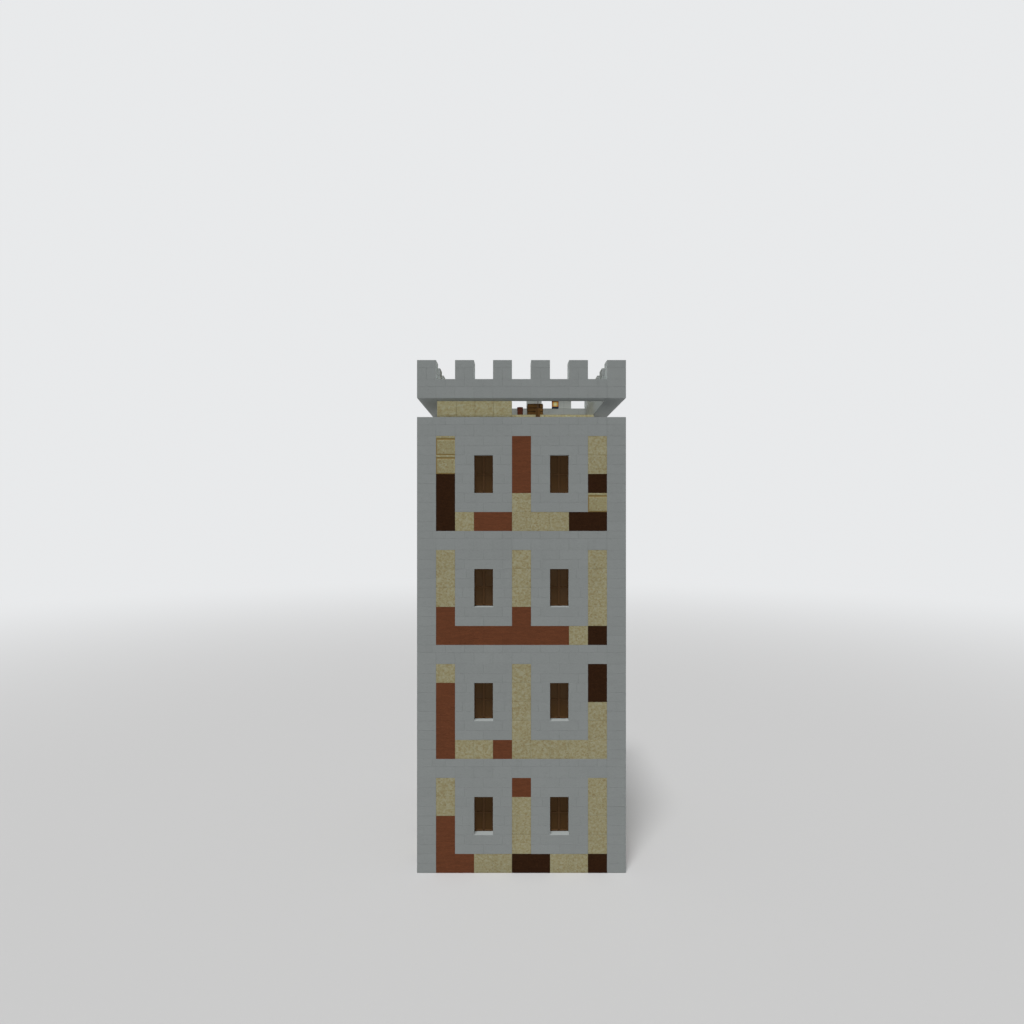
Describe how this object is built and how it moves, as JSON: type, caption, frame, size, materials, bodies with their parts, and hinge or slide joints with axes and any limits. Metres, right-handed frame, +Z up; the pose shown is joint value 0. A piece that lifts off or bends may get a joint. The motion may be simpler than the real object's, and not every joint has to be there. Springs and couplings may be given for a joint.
{
  "type": "stone tower house",
  "caption": "Square stone tower house with glazed windows on every storey, grey piers and bands round block panels, and a raised roof terrace behind a battlemented parapet.",
  "frame": {"origin": "on the ground at the centre of the tower's square plan", "axes": "+Z up; -Y out of the front wall; +X to the right when facing the front wall"},
  "size_m": [11, 11, 27],
  "materials": {
    "grey_stone": "smooth dressed grey stone",
    "floor_stone": "plain grey stone slab",
    "sandstone": "mottled buff sandstone",
    "cut_sandstone": "sandstone dressed with a fascia, a groove and a sunk margin",
    "terracotta": "red-brown fired clay with fine flat streaks",
    "dark_brick": "dark brown fired clay with a fine grain",
    "window_wood": "dark brown timber",
    "window_glass": "dark brown tinted glass",
    "plank_wood": "dark brown rough boards",
    "iron": "black forged iron",
    "lantern_metal": "dark bronze-brown lantern frame",
    "lantern_glass": "amber glass",
    "lamp": "lit pale yellow lamp",
    "pot_clay": "dark red fired clay"
  },
  "bodies": {
    "root": {"front_bands": "grey_stone", "front_sills_lintels": "grey_stone", "front_jambs": "grey_stone", "front_window_frames": "window_wood", "front_parapet": "grey_stone", "right_bands": "grey_stone", "right_sills_lintels": "grey_stone", "right_jambs": "grey_stone", "right_window_frames": "window_wood", "right_parapet": "grey_stone", "back_bands": "grey_stone", "back_sills_lintels": "grey_stone", "back_jambs": "grey_stone", "back_window_frames": "window_wood", "back_parapet": "grey_stone", "left_bands": "grey_stone", "left_sills_lintels": "grey_stone", "left_jambs": "grey_stone", "left_window_frames": "window_wood", "left_parapet": "grey_stone", "corner_piers": "grey_stone", "window_glass": "window_glass", "sandstone_courses": "sandstone", "sandstone_strips": "sandstone", "terracotta_courses": "terracotta", "terracotta_strips": "terracotta", "dark_brick_courses": "dark_brick", "dark_brick_strips": "dark_brick", "cut_sandstone_blocks": "cut_sandstone", "ground_floor": "floor_stone", "upper_floors": "floor_stone", "roof_slab": "floor_stone", "terrace_left": "sandstone", "terrace_back": "sandstone", "merlons": "grey_stone", "crate": "plank_wood", "crate_lid": "plank_wood", "lantern_post": "plank_wood", "lantern_bracket": "iron", "lantern_frame": "lantern_metal", "lantern_glass": "lantern_glass", "lantern_lamp": "lamp", "pot": "pot_clay"}
  },
  "joints": []
}
